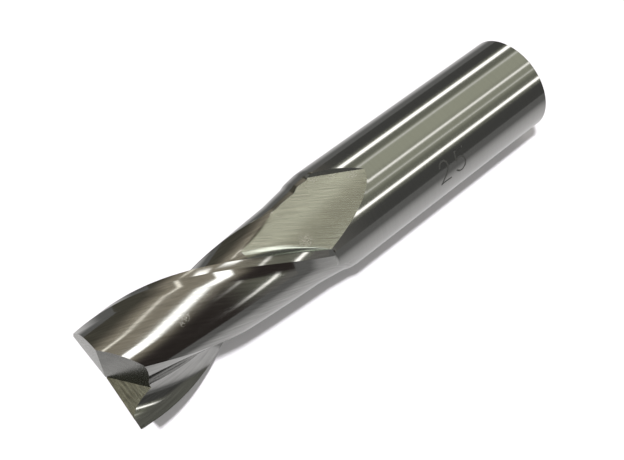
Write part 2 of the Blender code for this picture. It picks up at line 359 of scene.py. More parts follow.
sample = np.array([FLUTE_LENGTH / 2])
print("rake arc", round(float(rake_arc(sample)[0][0]) / MM, 2), "mm in radius at half the flute")

# %% [markdown]
# ## Floor of the loop
# From the joint the bottom is read by its angle. Past the end of the edge there is no rake face any
# more, so all the columns from the edge to the corner are spread over the run-out, and each row still
# joins the one before it.

# %% Floor columns
def floor_columns(depth):
    """Rake arc by its sweep, then the bottom by the angle, from the edge to the corner."""
    past = depth > EDGE_END
    radius, joint = rake_arc(depth)
    centre = np.array([RADIUS, 0.0]) + polar(radius, RAKE + math.pi / 2)
    sweep = RAKE + math.pi / 2 - root_facing(joint, depth)
    turn = RAKE - math.pi / 2 - blend(0 * sweep, sweep, RAKE_COLUMNS)
    arc = centre[:, None] + polar(radius[:, None], turn)
    corner = corner_turn(depth)
    start = np.where(past, runout_edge(np.maximum(depth, EDGE_END)), joint)
    all_columns = RAKE_COLUMNS + FLOOR_COLUMNS
    split = np.where(past, start + (corner - start) * RAKE_COLUMNS / all_columns, joint)
    first = blend(start, split, RAKE_COLUMNS)
    first = np.where(past[:, None, None], polar(root_radius(first, depth[:, None]), first), arc)
    rest = split[:, None] + (corner - split)[:, None] * (np.arange(FLOOR_COLUMNS + 1) / FLOOR_COLUMNS)
    return np.concatenate([first, polar(root_radius(rest, depth[:, None]), rest)], 1)


print("points of a floor", floor_columns(sample).shape[1])

# %% [markdown]
# ## Wall, back and the whole loop
# Where the wheel rises out of the steel, its corner leaves a short slanted wall between the run-out
# and the back. A slanted ray from the corner is followed until it reaches the back, and the back's
# columns then run on to just before the next heel, where the other half of the loop begins.

# %% Wall, back and the whole loop
CORNER_SLANT = math.radians(45.0)
WALL_SEARCH = 8 * MM


def back_columns(depth, corner):
    """The wheel's slanted wall up to the back, then the back to just before the next heel."""
    slant = polar(1.0, runout_turn(np.maximum(depth, FLUTE_LENGTH)) + CORNER_SLANT)

    def short(reach):
        """How far the ray's point is outside the back, negative while it's inside."""
        place = corner + slant * reach[:, None]
        return np.linalg.norm(place, axis=-1) - back_radius(np.arctan2(place[:, 1], place[:, 0]), depth)

    zero = np.zeros_like(depth)
    top = corner + slant * crossing(short, zero, zero + WALL_SEARCH)[:, None]
    wall = blend(corner, top, WALL_COLUMNS)[:, 1:]
    angle = blend(np.arctan2(top[:, 1], top[:, 0]), HEEL_TURN + zero, BACK_COLUMNS)
    return np.concatenate([wall, polar(back_radius(angle, depth[:, None]), angle)], 1)


def section(depth):
    """Half loops for an array of depths, in the frame that turns with the edge: land, floor, back."""
    floor = floor_columns(depth)
    return np.concatenate([land_columns(depth), floor, back_columns(depth, floor[:, -1])], 1)


def turned(points, angle):
    """Points turned about the axis, one angle for each row: x cos - y sin, x sin + y cos."""
    x, y = points[..., 0], points[..., 1]
    cos, sin = np.cos(angle)[:, None], np.sin(angle)[:, None]
    return np.stack([x * cos - y * sin, x * sin + y * cos], -1)


print("points of half a loop", section(sample).shape[1])

# %% [markdown]
# ## Rows of the flutes
# The sections are stacked from a little above the tip, where the end's wheels will cut, to the end of
# the flutes. The surface changes fast at the end of the edge and at the two steps of the back, so the
# rows are close there and wide elsewhere, which keeps the mesh light.

# %% Rows of the flutes
ABOVE_TIP = 1 * MM
WIDE_ROWS_TO = 0.75 * FLUTE_LENGTH
CLOSE_ROWS = 0.5 * MM
GAP = 0.01 * MM
WIDE_PITCH = 0.5 * MM
MIDDLE_PITCH = 0.35 * MM
RUNOUT_PITCH = 0.3 * MM
LAST_PITCH = 0.25 * MM
CLOSE_PITCH = 0.1 * MM


def spaced(start, end, pitch):
    """Even values from start to end, at most one pitch apart."""
    return np.linspace(start, end, int(math.ceil((end - start) / pitch)) + 1)


stretches = [
    (-ABOVE_TIP, WIDE_ROWS_TO, WIDE_PITCH),
    (WIDE_ROWS_TO, EDGE_END - CLOSE_ROWS, MIDDLE_PITCH),
    (EDGE_END - CLOSE_ROWS, EDGE_END - GAP, CLOSE_PITCH),
    (EDGE_END + GAP, EDGE_END + LAND_BLEND, CLOSE_PITCH),
    (EDGE_END + LAND_BLEND, BACK_STEP_AT, RUNOUT_PITCH),
    (BACK_STEP_AT, BACK_STEP_AT + STEP_RUN, CLOSE_PITCH),
    (BACK_STEP_AT + STEP_RUN, BACK_END - STEP_RUN, RUNOUT_PITCH),
    (BACK_END - STEP_RUN, BACK_END, CLOSE_PITCH),
    (BACK_END, FLUTE_END - GAP, LAST_PITCH),
]
flute_depths = np.unique(np.concatenate([spaced(*stretch) for stretch in stretches]))
half_loops = section(flute_depths)
loops = turned(np.concatenate([half_loops, -half_loops], 1), -TWIST * flute_depths)
columns = loops.shape[1]
print("flute rows and columns", loops.shape[:2])

# %% [markdown]
# ## Zones
# A face's zone says which wheel ground it, and so which finish it takes: land, flute, run-out, wall or
# shank. They could be picked by hand in edit mode, but here the columns of the section and the line of
# contact already say which face is which.

# %% Zones
ZONES = ("land", "flute", "runout", "wall", "shank")
LAND_END = sum(LAND_COLUMNS)
RAKE_END = LAND_END + RAKE_COLUMNS
FLOOR_END = RAKE_END + FLOOR_COLUMNS
WALL_END = FLOOR_END + WALL_COLUMNS
RUNOUT_SHARE = 0.5


def zone_grid(depths):
    """Zone of each face between two rows, for one half loop, by column and by depth.

    A bottom face is run-out where more than half of the blend at its middle is.
    """
    middle = (depths[1:] + depths[:-1]) / 2
    count = half_loops.shape[1]
    zones = np.zeros((len(middle), count), int)
    zones[:, LAND_END:FLOOR_END] = ZONES.index("flute")
    zones[:, FLOOR_END:WALL_END] = ZONES.index("wall")
    zones[:, WALL_END:] = ZONES.index("flute")
    corner = half_loops[:-1, LAND_END:FLOOR_END]
    angle = np.arctan2(corner[..., 1], corner[..., 0])
    angle = np.maximum(angle, angle[:, RAKE_COLUMNS:RAKE_COLUMNS + 1])
    on_runout = contact_share(angle, middle[:, None]) > RUNOUT_SHARE
    zones[:, LAND_END:FLOOR_END][on_runout] = ZONES.index("runout")
    gone = middle > EDGE_END
    zones[:, LAND_END:FLOOR_END][gone] = ZONES.index("runout")
    zones[gone, :LAND_END] = ZONES.index("shank")
    zones[middle > BACK_END, WALL_END:] = ZONES.index("shank")
    zones[middle < FLUTE_LENGTH, FLOOR_END:WALL_END] = ZONES.index("flute")
    return zones


zone_half = zone_grid(flute_depths)
print("faces of half a loop", {name: int((zone_half == k).sum()) for k, name in enumerate(ZONES)})

# %% [markdown]
# ## Direction of the grinding lines
# On the flutes the lines follow the helix, and on the run-out they follow the wheel's rim. Every point
# therefore carries two lengths, across the lines and along them. An unwrap by Blender would cut the
# surface into islands; lengths measured on the section run on without a seam.

# %% Grinding directions
RUNOUT_GRAIN = math.radians(42)
HELIX_GRAIN = 1 / math.cos(HELIX)


def grain_lengths(depths):
    """Lengths across and along the grinding lines at each point: on the helix, and on the run-out.

    On the helix the first is the length round the section from its start and the second the depth
    over the cosine of the helix. On the run-out both are turned by the grain's angle in its plane.
    """
    steps = np.linalg.norm(np.diff(half_loops, axis=1), axis=-1)
    across = np.concatenate([np.zeros((len(depths), 1)), np.cumsum(steps, 1)], 1)
    helix = np.stack([across, depths[:, None] * HELIX_GRAIN + 0 * across], -1)
    off = np.arctan2(half_loops[..., 1], half_loops[..., 0]) - runout_turn(depths)[:, None]
    sideways = np.linalg.norm(half_loops, axis=-1) * np.sin(off)
    cos, sin = math.cos(RUNOUT_GRAIN), math.sin(RUNOUT_GRAIN)
    flat = np.stack([
        depths[:, None] * sin + sideways * cos,
        depths[:, None] * cos - sideways * sin,
    ], -1)
    return helix, flat


helix_half, flat_half = grain_lengths(flute_depths)
print("longest way round half a loop", round(float(helix_half[..., 0].max()) / MM, 2), "mm")

# %% [markdown]
# ## The closed skin
# Below the flutes come plain rings: the shank, its chamfer and the centre hole in which the bar was
# held for grinding. The rows and the rings make one closed skin, joined by quads. A cylinder with a
# bevel would give the same shank, but as a second piece with a seam at the flutes.

# %% Skin
CHAMFER = 0.6 * MM
MOUTH = 2.65 * MM
PILOT = 1.25 * MM
CONE_ANGLE = math.radians(30)
CONE_DEPTH = (MOUTH - PILOT) / math.tan(CONE_ANGLE)
PILOT_DEPTH = 1.6 * MM


def shank_rings():
    """Radius and height of the plain rings from the run-out down into the centre hole."""
    return np.array([
        (RADIUS, LENGTH - FLUTE_END - STEP_RUN),
        (RADIUS, CHAMFER),
        (RADIUS - CHAMFER, 0),
        (MOUTH, 0),
        (PILOT, CONE_DEPTH),
        (PILOT, CONE_DEPTH + PILOT_DEPTH),
    ])


def grid_faces(rows, count):
    """Quads between consecutive closed loops: point number row x count + column."""
    row, column = np.meshgrid(np.arange(rows - 1), np.arange(count), indexing="ij")
    a = row * count + column
    b = row * count + (column + 1) % count
    return np.stack([a, a + count, b + count, b], -1).reshape(-1, 4)


ring_sizes = shank_rings()
last_turn = np.arctan2(loops[-1, :, 1], loops[-1, :, 0])
rings = ring_sizes[:, 0, None, None] * polar(1.0, last_turn)[None]
flat_points = np.concatenate([loops, rings]).reshape(-1, 2)
heights = np.concatenate([LENGTH - flute_depths, ring_sizes[:, 1]])
points = np.column_stack([flat_points, np.repeat(heights, columns)])
faces = grid_faces(len(heights), columns)
zones = np.full((len(heights) - 1, columns), ZONES.index("shank"))
zones[:len(zone_half)] = np.concatenate([zone_half, zone_half], 1)
pad = np.zeros((len(ring_sizes), columns, 2))
helix_grain = np.concatenate([np.tile(helix_half, (1, 2, 1)), pad]).reshape(-1, 2) / MM
runout_grain = np.concatenate([np.tile(flat_half, (1, 2, 1)), pad]).reshape(-1, 2) / MM
print("points", len(points), "faces", len(faces))

# %% [markdown]
# ## Helpers for shader nodes
# A finish is a small tree of shader nodes. Clicking it together by hand would do for one of them, but
# this scene needs nine, so a few helpers make and join the nodes that all of them use.

# %% Node helpers
def shader_tree(name):
    """A new material with an empty node tree, and its output node."""
    material = bpy.data.materials.new(name)
    material.use_nodes = True
    tree = material.node_tree
    tree.nodes.clear()
    return material, tree, tree.nodes.new("ShaderNodeOutputMaterial")


def node(tree, kind, **values):
    """A node with its properties or its inputs set by name, an underscore for each blank."""
    new = tree.nodes.new(kind)
    for name, value in values.items():
        if hasattr(new, name) and name not in new.inputs:
            setattr(new, name, value)
        else:
            new.inputs[name.replace("_", " ")].default_value = value
    return new


def math_node(tree, operation, *values):
    """The output of one math node; each value is a number or another node's output."""
    new = node(tree, "ShaderNodeMath", operation=operation)
    for socket, value in zip(new.inputs, values):
        if isinstance(value, (int, float)):
            socket.default_value = value
        else:
            tree.links.new(value, socket)
    return new.outputs["Value"]


def smooth_node(tree, value, start, end):
    """The same smooth step as above, 3t^2 - 2t^3, as a node."""
    step = node(tree, "ShaderNodeMapRange", interpolation_type="SMOOTHSTEP")
    step.inputs["From Min"].default_value = start
    step.inputs["From Max"].default_value = end
    tree.links.new(value, step.inputs["Value"])
    return step.outputs["Result"]


print("node helpers ready for", bpy.app.version_string)

# %% [markdown]
# ## Helpers for colours
# A colour is three parts, red, green and blue. Most of this scene's colours are one steel, wall or
# lamp made darker or lighter, so they are worked out from each other and stay in step.

# %% Colour helpers
def shade(colour, share):
    """A colour made darker or lighter: each of its three parts times the share."""
    return tuple(share * part for part in colour)


def mix_colours(tree, factor, first, second):
    """first (1 - factor) + second factor; each colour is a tuple or an output."""
    mix = node(tree, "ShaderNodeMix", data_type="RGBA")
    tree.links.new(factor, mix.inputs["Factor"])
    for name, value in (("A", first), ("B", second)):
        if isinstance(value, tuple):
            mix.inputs[name].default_value = (*value, 1)
        else:
            tree.links.new(value, mix.inputs[name])
    return mix.outputs["Result"]


print("half of a mid grey is", shade((0.5, 0.5, 0.5), 0.5))

# %% [markdown]
# ## Grinding lines
# Ground steel isn't smooth: each wheel leaves fine parallel lines. A photo texture would show its seams
# and its size, so the lines are noise that changes fast across them and slowly along them. The flutes
# read their own map of lengths in millimetres. The shank was ground turning, so its lines are rings
# and can read the object's own place in metres, and so can the small faces of the end.

# %% Grinding lines
LINE_DETAIL = 3.0
LINE_ROUGHNESS = 0.6
NOISE_RANGE = (0.3, 0.7)


def lines_texture(tree, source, scale):
    """Noise squeezed to lines: the source's vector times a scale for each direction."""
    mapping = node(tree, "ShaderNodeMapping", vector_type="POINT", Scale=scale)
    noise = node(
        tree, "ShaderNodeTexNoise", Scale=1.0, Detail=LINE_DETAIL, Roughness=LINE_ROUGHNESS
    )
    tree.links.new(source, mapping.inputs["Vector"])
    tree.links.new(mapping.outputs["Vector"], noise.inputs["Vector"])
    return noise.outputs["Fac"]


def remap(tree, value, low_value, high_value):
    """The middle range of a noise stretched in a straight line to two given values."""
    step = node(tree, "ShaderNodeMapRange")
    step.inputs["From Min"].default_value = NOISE_RANGE[0]
    step.inputs["From Max"].default_value = NOISE_RANGE[1]
    step.inputs["To Min"].default_value = low_value
    step.inputs["To Max"].default_value = high_value
    tree.links.new(value, step.inputs["Value"])
    return step.outputs["Result"]


print("range of the noise in use", NOISE_RANGE)

# %% [markdown]
# ## Scuffs
# A used tool carries small bright scuffs where chips and fingers rubbed it. They are too fine to
# model and too few to paint, so each is a soft ball in space, and inside it a fine noise picks
# specks that are rougher and paler than the steel.

# %% Scuffs
SCUFF_ROUGHNESS = 0.35
SCUFF_COLOUR = (0.80, 0.79, 0.76)
SCUFF_CORE = 0.2
SPECK_SCALE = 6500.0
SPECK_RANGE = (0.56, 0.62)
FLUTE_SCUFFS = [((-2.7, -10.6, 101.3), 1.3), ((-3.3, -10.2, 102.7), 0.9)]
RUNOUT_SCUFFS = [
    ((-3.9, -8.1, 71.0), 2.0),
    ((6.5, -9.6, 60.4), 1.5),
    ((4.0, -10.7, 57.0), 1.5),
    ((1.0, -11.7, 53.9), 1.5),
]


def scuff_mask(tree, scuffs):
    """1 in small specks inside each scuff, a centre and a radius in millimetres, and 0 outside.

    It is the largest of the scuffs' smooth steps from the radius to the core, times the specks.
    """
    place = node(tree, "ShaderNodeTexCoord").outputs["Object"]
    inside = 0.0
    for centre, radius in scuffs:
        away = node(tree, "ShaderNodeVectorMath", operation="DISTANCE")
        away.inputs[1].default_value = tuple(part * MM for part in centre)
        tree.links.new(place, away.inputs[0])
        near = smooth_node(tree, away.outputs["Value"], radius * MM, SCUFF_CORE * radius * MM)
        inside = math_node(tree, "MAXIMUM", near, inside)
    specks = node(tree, "ShaderNodeTexNoise", Scale=SPECK_SCALE, Detail=1.0)
    tree.links.new(place, specks.inputs["Vector"])
    chosen = smooth_node(tree, specks.outputs["Fac"], *SPECK_RANGE)
    return math_node(tree, "MULTIPLY", inside, chosen)


print("scuffs", len(FLUTE_SCUFFS), "in a flute and", len(RUNOUT_SCUFFS), "near the run-out")

# %% [markdown]
# ## One ground finish
# A finish is bare metal whose grinding lines act three ways: as a bump, as a little change of the
# roughness, and as a little change of the tone. Two scales of lines lie over each other, because a
# wheel's grains are of many sizes and a single scale looks like combed plastic.

# %% Ground finish
USUAL_SPREAD = 0.06
USUAL_TINT = (0.88, 1.08)


def ground_finish(name, colour, roughness, lines, fine_lines, depth, by_place=False,
                  spread=USUAL_SPREAD, tint=USUAL_TINT, scuffs=()):
    """Metal with grinding lines: scales of the coarse and the fine ones, bump depth in metres.

    roughness +- spread follows the fine lines, colour x tint the coarse ones, and the bump is their
    sum. by_place reads the object's own place instead of the map of lengths.
    """
    material, tree, output = shader_tree(name)
    shader = node(tree, "ShaderNodeBsdfPrincipled", Metallic=1.0)
    if by_place:
        source = node(tree, "ShaderNodeTexCoord").outputs["Object"]
    else:
        source = node(tree, "ShaderNodeUVMap", uv_map="grain").outputs["UV"]
    coarse = lines_texture(tree, source, lines)
    fine = lines_texture(tree, source, fine_lines)
    rough = remap(tree, fine, roughness - spread, roughness + spread)
    darker, lighter = (shade(colour, share) for share in tint)
    tone = mix_colours(tree, remap(tree, coarse, 0, 1), darker, lighter)
    if scuffs:
        marked = scuff_mask(tree, scuffs)
        rough = math_node(tree, "MULTIPLY_ADD", marked, SCUFF_ROUGHNESS, rough)
        tone = mix_colours(tree, marked, tone, SCUFF_COLOUR)
    tree.links.new(rough, shader.inputs["Roughness"])
    tree.links.new(tone, shader.inputs["Base Color"])
    bump = node(tree, "ShaderNodeBump", Strength=1.0, Distance=depth)
    tree.links.new(math_node(tree, "ADD", coarse, fine), bump.inputs["Height"])
    tree.links.new(bump.outputs["Normal"], shader.inputs["Normal"])
    tree.links.new(shader.outputs["BSDF"], output.inputs["Surface"])
    return material


print("usual spread of the roughness", USUAL_SPREAD, "and tint", USUAL_TINT)

# %% [markdown]
# ## The finishes of the tool
# Each wheel leaves its own finish. Lands and shank are ground finest and mirror the room. The flutes
# show soft lines, the run-out is rougher and a little green, and its wall is dull. At the end, the
# faces left by a wheel's underside are evenly grey, and the upright walls are olive with wide lines.

# %% Finishes
STEEL = (0.42, 0.42, 0.41)
OLIVE_STEEL = (0.20, 0.205, 0.17)
DARK_STEEL = (0.24, 0.24, 0.235)
END_STEEL = (0.37, 0.37, 0.355)
RUNOUT_STEEL = (0.445, 0.475, 0.43)
finishes = {
    "land": ground_finish("ground_land", STEEL, 0.09, (3, 0.3, 1), (14, 0.8, 1), 0.3e-6, spread=0.03),
    "flute": ground_finish(
        "ground_flute", STEEL, 0.10, (2.0, 0.12, 1), (11, 0.35, 1), 1.2e-6, spread=0.04,
        tint=(0.80, 1.10), scuffs=FLUTE_SCUFFS
    ),
    "runout": ground_finish(
        "ground_runout", RUNOUT_STEEL, 0.20, (4.5, 0.12, 1), (16, 0.3, 1), 2.8e-6,
        tint=(0.84, 1.13), scuffs=RUNOUT_SCUFFS
    ),
    "wall": ground_finish("ground_wall", DARK_STEEL, 0.28, (3, 0.3, 1), (12, 0.6, 1), 3.0e-6),
    "shank": ground_finish(
        "ground_shank", STEEL, 0.10, (60, 60, 2500), (120, 120, 9000), 0.12e-6, by_place=True,
        spread=0.02, tint=(0.97, 1.02)
    ),
    "end_rake": ground_finish(
        "ground_end_rake", OLIVE_STEEL, 0.20, (250, 1800, 2200), (400, 5000, 6000), 3.0e-6,
        by_place=True, tint=(0.55, 1.45)
    ),
    "end_face": ground_finish(
        "ground_end_face", END_STEEL, 0.24, (150, 800, 800), (900, 7000, 7000), 3.0e-6,
        by_place=True
    ),
}
print("finishes", list(finishes))

# %% [markdown]
# ## Blank
# The skin becomes a mesh, closed by one flat cap at each end, with one material for each zone. The two
# lengths go into a UV map, the usual place for numbers that a texture reads at each point.

# %% Blank mesh
def new_mesh(name, places, polygons):
    """Mesh from an array of places and lists of point numbers."""
    mesh = bpy.data.meshes.new(name)
    mesh.from_pydata(np.asarray(places).tolist(), [], polygons)
    return mesh


def new_object(name, data):
    """Object in the scene that shows the given mesh, lamp or camera."""
    made = bpy.data.objects.new(name, data)
    bpy.context.scene.collection.objects.link(made)
    return made


last_ring = len(points) - columns
top_cap = list(range(columns))
pilot_cap = list(range(last_ring + columns - 1, last_ring - 1, -1))
blank_mesh = new_mesh("blank", points, [*faces.tolist(), top_cap, pilot_cap])
for zone in ZONES:
    blank_mesh.materials.append(finishes[zone])
face_zones = np.concatenate([zones.ravel(), [ZONES.index("shank")] * 2]).astype(np.int32)
blank_mesh.polygons.foreach_set("material_index", face_zones)
grain = blank_mesh.uv_layers.new(name="grain")
corner_points = np.zeros(len(blank_mesh.loops), np.int32)
blank_mesh.loops.foreach_get("vertex_index", corner_points)
corner_counts = np.zeros(len(blank_mesh.polygons), np.int32)
blank_mesh.polygons.foreach_get("loop_total", corner_counts)
flat_zone = np.isin(face_zones, [ZONES.index("runout"), ZONES.index("wall")])
on_flat = np.repeat(flat_zone, corner_counts)[:, None]
lengths = np.where(on_flat, runout_grain[corner_points], helix_grain[corner_points])
grain.data.foreach_set("uv", lengths.ravel())
blank = new_object("blank", blank_mesh)
print("blank mesh", len(blank_mesh.polygons), "faces")

# %% [markdown]
# ## Closing the blank
# The columns meet in points where a wall or a flat runs out to nothing. Such doubled points are merged
# and the empty faces go, because the Boolean that follows needs a clean closed solid. Every edge then
# has two faces, and the volume tells whether the skin points outwards.

# %% Closed blank
MERGE = 1e-6
CUBIC_CM = (10 * MM) ** 3
shape = bmesh.new()
shape.from_mesh(blank_mesh)
bmesh.ops.remove_doubles(shape, verts=shape.verts, dist=MERGE)
bmesh.ops.dissolve_degenerate(shape, edges=shape.edges, dist=MERGE)
bmesh.ops.recalc_face_normals(shape, faces=shape.faces)
open_edges = sum(1 for edge in shape.edges if len(edge.link_faces) != 2)
print("open edges", open_edges, "volume in cm3", round(shape.calc_volume() / CUBIC_CM, 2))
shape.to_mesh(blank_mesh)
shape.free()

# %% [markdown]
# ## End teeth
# Four flat wheels shape the end: two grind the end relief behind each end edge, so the edges dish in a
# little towards the centre, and two grind the gash in front of each. One gash runs past the centre, so
# that one tooth cuts across it. Each wheel is a wedge with a slanted underside. Its underside leaves
# the grey finish and its upright sides the olive one.

# %% Wheels of the end
END_RELIEF = math.radians(9.5)
END_DISH = 0.45 * MM
GASH_SLOPE = math.radians(39.6)
GASH_TURN = math.radians(22.5)
PAST_CENTRE = 1.0 * MM
SHORT_OF_CENTRE = 0.6 * MM
BOX_CAPS = [(3, 2, 1, 0), (4, 5, 6, 7)]
BOX_SIDES = [(k, (k + 1) % 4, 4 + (k + 1) % 4, 4 + k) for k in range(4)]


def relief_depth(x, y):
    """Depth below the tip of the relief: dish (1 + x / R) + y tan(relief)."""
    return END_DISH * (1 + x / RADIUS) + y * math.tan(END_RELIEF)


def gash_depth(past):
    """Depth of a gash past the centre: dish + tan(slope) ((x + past) cos(turn) + y sin(turn))."""
    def depth(x, y):
        """The formula above for one gash."""
        return END_DISH + math.tan(GASH_SLOPE) * (
            (x + past) * math.cos(GASH_TURN) + y * math.sin(GASH_TURN)
        )
    return depth


def wheel(name, depth_at, turn_by):
    """Wedge over one half of the end: its underside is at the length minus the depth."""
    reach = 2 * RADIUS
    x = np.array([-reach, reach, reach, -reach])
    y = np.array([0, 0, reach, reach])
    low_side = np.column_stack([x, y, LENGTH - depth_at(x, y)])
    high_side = np.column_stack([x, y, np.full(4, LENGTH + reach)])
    mesh = new_mesh(name, np.concatenate([low_side, high_side]), BOX_CAPS + BOX_SIDES)
    mesh.materials.append(finishes["end_face"])
    mesh.materials.append(finishes["end_rake"])
    mesh.polygons.foreach_set("material_index", [0] * len(BOX_CAPS) + [1] * len(BOX_SIDES))
    mesh.uv_layers.new(name="grain")
    made = new_object(name, mesh)
    made.rotation_euler.z = turn_by
    return made


cutters = [
    wheel("relief_1", relief_depth, 0.0),
    wheel("relief_2", relief_depth, math.pi),
    wheel("gash_long", gash_depth(PAST_CENTRE), math.pi),
    wheel("gash_short", gash_depth(-SHORT_OF_CENTRE), 0.0),
]
print("wheels", [cutter.name for cutter in cutters])

# %% [markdown]
# ## Cutting the end
# The wheels are taken away one after the other by exact Booleans, which also pass their finishes on to
# the faces that they leave. The result replaces the frame's solid. It's shaded smooth except where
# two faces meet at more than a small angle, so the edges stay keen and the flutes stay round.

# %% Cut end
SHARP_FROM = math.radians(12)
for cutter in cutters:
    cut = blank.modifiers.new(cutter.name, "BOOLEAN")
    cut.operation = "DIFFERENCE"
    cut.solver = "EXACT"
    cut.material_mode = "TRANSFER"
    cut.object = cutter
evaluated = blank.evaluated_get(bpy.context.evaluated_depsgraph_get())
drill_mesh = bpy.data.meshes.new_from_object(evaluated)
drill_mesh.name = "ground_body"
for used in (blank, *cutters):
    bpy.data.objects.remove(used, do_unlink=True)
drill_mesh.shade_smooth()
drill_mesh.set_sharp_from_angle(angle=SHARP_FROM)
drill = new_object("ground_body", drill_mesh)
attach(drill, "root")
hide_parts("slot_drill")
print("ground body", len(drill_mesh.polygons), "faces", [m.name for m in drill_mesh.materials])

# %% [markdown]
# ## Etched size
# The shank carries the cutting diameter, 25, as thin dark strokes written by hand with an etching pen.
# Each stroke is a row of short closed plates carried round the shank, sunk in it and standing a few
# thousandths of a millimetre proud, so that the mark stays crisp without an image.

# %% Strokes of the etched size
STROKE = 0.42 * MM
STROKE_PITCH = 0.3 * MM
STROKE_RADII = (RADIUS - 0.05 * MM, RADIUS + 0.006 * MM)
GLYPH_WIDTH = 3.0 * MM
GLYPH_HEIGHT = 5.6 * MM
MARK_TURN = math.radians(-158.5)
TWO = [
    (0.16, 0.80), (0.26, 0.93), (0.48, 1.0), (0.74, 0.98), (0.92, 0.86), (0.95, 0.68), (0.84, 0.50),
    (0.60, 0.33), (0.28, 0.16), (0.0, 0.0), (0.35, 0.03), (1.0, 0.0),
]
FIVE = [
    (0.95, 1.0), (0.18, 1.0), (0.08, 0.60), (0.32, 0.69), (0.62, 0.68), (0.88, 0.53), (0.97, 0.32),
    (0.85, 0.12), (0.55, 0.0), (0.25, 0.02), (0.0, 0.14),
]
GLYPHS = [(TWO, 36.3 * MM), (FIVE, 31.2 * MM)]


def stroke_points(outline):
    """An outline at its real size, read again at an even pitch along its length."""
    corners = np.array(outline) * (GLYPH_WIDTH, GLYPH_HEIGHT)
    travelled = np.concatenate([[0], np.cumsum(np.linalg.norm(np.diff(corners, axis=0), axis=1))])
    even = np.linspace(0, travelled[-1], int(travelled[-1] / STROKE_PITCH) + 2)
    return np.stack([np.interp(even, travelled, corners[:, k]) for k in (0, 1)], -1)


def stroke_plates(outline, start):
    """Eight corners for each short plate: x = r cos(t + b / R), y = r sin(t + b / R), z = start - a."""
    path = stroke_points(outline)
    first, last = path[:-1], path[1:]
    along = last - first
    along = along / np.linalg.norm(along, axis=1, keepdims=True) * STROKE / 2
    aside = np.stack([-along[:, 1], along[:, 0]], -1)
    flat = np.stack([
        first - along - aside, last + along - aside, last + along + aside, first - along + aside
    ], 1)
    layers = []
    for radius in STROKE_RADII:
        turn_at = MARK_TURN + flat[..., 1] / RADIUS
        layers.append(np.stack([
            radius * np.cos(turn_at), radius * np.sin(turn_at), start - flat[..., 0]
        ], -1))
    return np.concatenate(layers, 1)


print("corners of the two outlines", [len(outline) for outline, _ in GLYPHS])

# %% [markdown]
# ## The mark on the shank
# The etching burns the steel dark and slightly dull, so the plates get their own metal. They are one
# mesh of closed plates that ride on the same body as the tool.

# %% Etched mark
MARK_COLOUR = (0.10, 0.10, 0.095, 1)
plates = np.concatenate([stroke_plates(*glyph) for glyph in GLYPHS])
box_faces = np.array(BOX_CAPS + BOX_SIDES)
first_corner = plates.shape[1] * np.arange(len(plates))
plate_faces = (box_faces[None] + first_corner[:, None, None]).reshape(-1, 4)
mark_mesh = new_mesh("etched_size", plates.reshape(-1, 3), plate_faces.tolist())
mark_material, mark_tree, mark_output = shader_tree("etched_mark")
mark_shader = node(
    mark_tree, "ShaderNodeBsdfPrincipled", Metallic=0.7, Roughness=0.45, Base_Color=MARK_COLOUR
)
mark_tree.links.new(mark_shader.outputs["BSDF"], mark_output.inputs["Surface"])
mark_mesh.materials.append(mark_material)
mark = new_object("etched_size", mark_mesh)
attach(mark, "root")
print("etched plates", len(plates))

# %% [markdown]
# ## Camera
# The photograph looks at the lying tool from above its cutting end. Here the tool stands, so the
# camera is turned with it instead: what was the table is a plane that touches the tool's side. The
# place, the directions and the lens come from a fit to the tool's corners and outlines.

# %% Camera
LENS = 43.52
SENSOR_WIDTH = 36
NEAREST_SEEN = 5 * MM
EDGE_TURN = math.radians(-18.6)
FITTED_PLACE = (-0.1, -164.6, 118.0)
FITTED_RIGHT = (-0.59567, -0.24392, -0.76530)
FITTED_AHEAD = (0.0, 0.95278, -0.30367)
turn = Matrix.Rotation(EDGE_TURN, 3, "Z")
camera_place = turn @ Vector(FITTED_PLACE) * MM
camera_right = (turn @ Vector(FITTED_RIGHT)).normalized()
camera_back = -(turn @ Vector(FITTED_AHEAD)).normalized()
camera_up = camera_back.cross(camera_right).normalized()
camera_data = bpy.data.cameras.new("photo_camera")
camera_data.lens = LENS
camera_data.sensor_width = SENSOR_WIDTH
camera_data.clip_start = NEAREST_SEEN
camera = new_object("photo_camera", camera_data)
camera_turn = Matrix((camera_right, camera_up, camera_back)).transposed().to_4x4()
camera.matrix_world = Matrix.Translation(camera_place) @ camera_turn
bpy.context.scene.camera = camera
print("camera at", tuple(round(v / MM, 1) for v in camera_place), "mm")

# %% [markdown]
# ## The paper's look
# The tool lies on white paper. Its colour paints a pool of light along the tool, with a painted glow,
# and dim paper away from it. The steel reflects that painted pool, while the camera sees the whole
# sheet white, so Light Path gives the camera a colour of its own. A lamp strong enough to whiten the
# paper would wash out the steel instead.

# %% Paper finish
# The next colours and distances paint a pool of light onto the paper, bright near the tool and dim away
# from it and past the tip; only the steel's reflections see it.
PAPER_SHOWN = (0.50, 0.485, 0.515, 1)
PAPER_PAINTED_LIT = (0.25, 0.245, 0.25, 1)
PAPER_PAINTED_DIM = (0.10, 0.10, 0.10, 1)
# A glow painted onto the bright paper of the pool, seen only in the steel's reflections.
PAPER_PAINTED_GLOW = 0.28
CAMERA_GLOW = 0.12
POOL = (0.012, 0.075)
TIP_POOL = (0.123, 0.143)
TIP_POOL_SHARE = 0.7


def paper_shader(tree, colour, glow):
    """Matt paper that also glows a little: diffuse + emission. In the reflected pool this glow is
    painted light.
    """
    matt = node(tree, "ShaderNodeBsdfDiffuse", Color=colour)
    light = node(tree, "ShaderNodeEmission", Strength=glow)
    both = tree.nodes.new("ShaderNodeAddShader")
    tree.links.new(matt.outputs[0], both.inputs[0])
    tree.links.new(light.outputs[0], both.inputs[1])
    return both.outputs[0]


